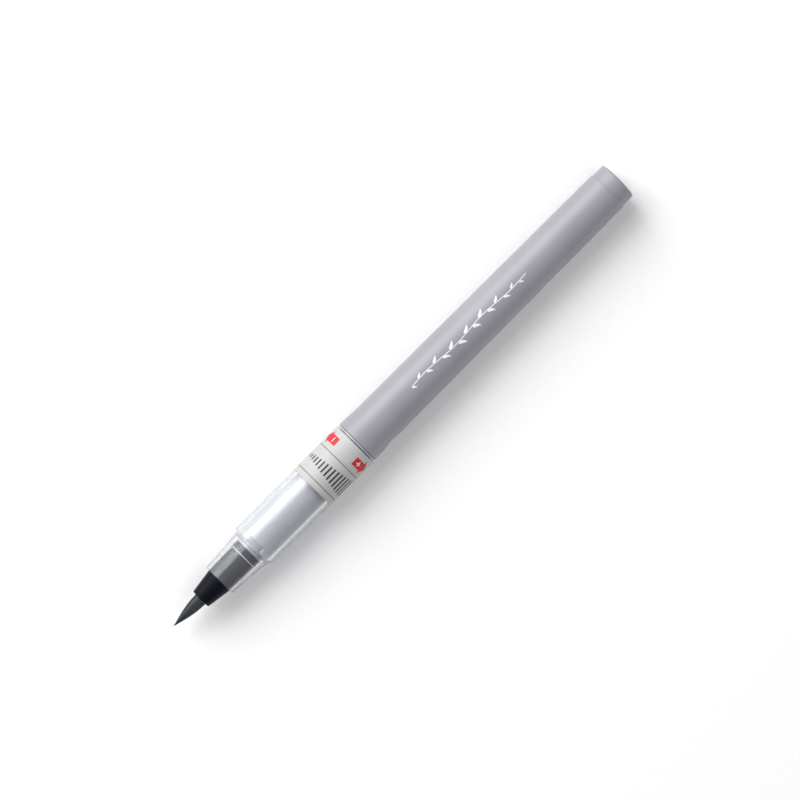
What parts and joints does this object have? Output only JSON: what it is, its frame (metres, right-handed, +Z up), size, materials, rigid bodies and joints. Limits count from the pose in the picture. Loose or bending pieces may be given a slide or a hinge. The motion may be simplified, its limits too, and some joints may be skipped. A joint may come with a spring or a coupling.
{
  "type": "calligraphy brush marker",
  "caption": "Brush marker for calligraphy, uncapped: fine bristles in a black ferrule that slides when the clear grip is twisted, and a slim grey barrel.",
  "frame": {"origin": "under the middle of the pen's length and axis, on the surface that the pen lies on", "axes": "+X along the pen from the brush to the tail plug, +Z up from the surface, +Y across the pen"},
  "size_m": [0.165, 0.0134, 0.0134],
  "materials": {
    "bristle": "fine nylon bristles, tinted by black ink",
    "black_gloss": "moulded black plastic, glossy",
    "pale_plastic": "translucent white plastic",
    "steel": "plain ground pins",
    "clear": "clear moulded plastic, polished",
    "label": "silver grey printed film",
    "frosted": "frosted white plastic",
    "seal_rubber": "soft black rubber",
    "inked_fibre": "fibre soaked with black ink",
    "film": "thin plastic film",
    "barrel_grey": "satin moulded plastic"
  },
  "bodies": {
    "barrel": {"barrel_tube": "barrel_grey", "tail_plug": "barrel_grey", "guide_sleeve": "frosted", "friction_ring": "seal_rubber", "thrust_washer": "frosted", "feed_tube": "pale_plastic", "feed_bulkhead": "pale_plastic", "brush_holder": "pale_plastic", "brush_tuft": "bristle", "relay_wick": "inked_fibre", "ink_reservoir": "inked_fibre", "reservoir_film": "film"},
    "grip": {"grip_sleeve": "clear", "grip_label": "label"},
    "ferrule": {"ferrule": "black_gloss", "ferrule_collar": "black_gloss", "ferrule_carrier": "pale_plastic", "drive_nut": "black_gloss", "drive_pins": "steel", "wiper_seal": "seal_rubber"}
  },
  "joints": [
    {"name": "grip_twist", "type": "hinge", "parent": "barrel", "child": "grip", "pos_m": [0, 0, 0.0067], "axis": [1, 0, 0], "range_deg": [-120, 120]},
    {"name": "ferrule_slide", "type": "slide", "parent": "barrel", "child": "ferrule", "axis": [1, 0, 0], "range_m": [-0.002, 0.002]}
  ],
  "couplings": [
    {"joint": "ferrule_slide", "follows": "grip_twist", "m_per_rad": 0.0009549}
  ]
}
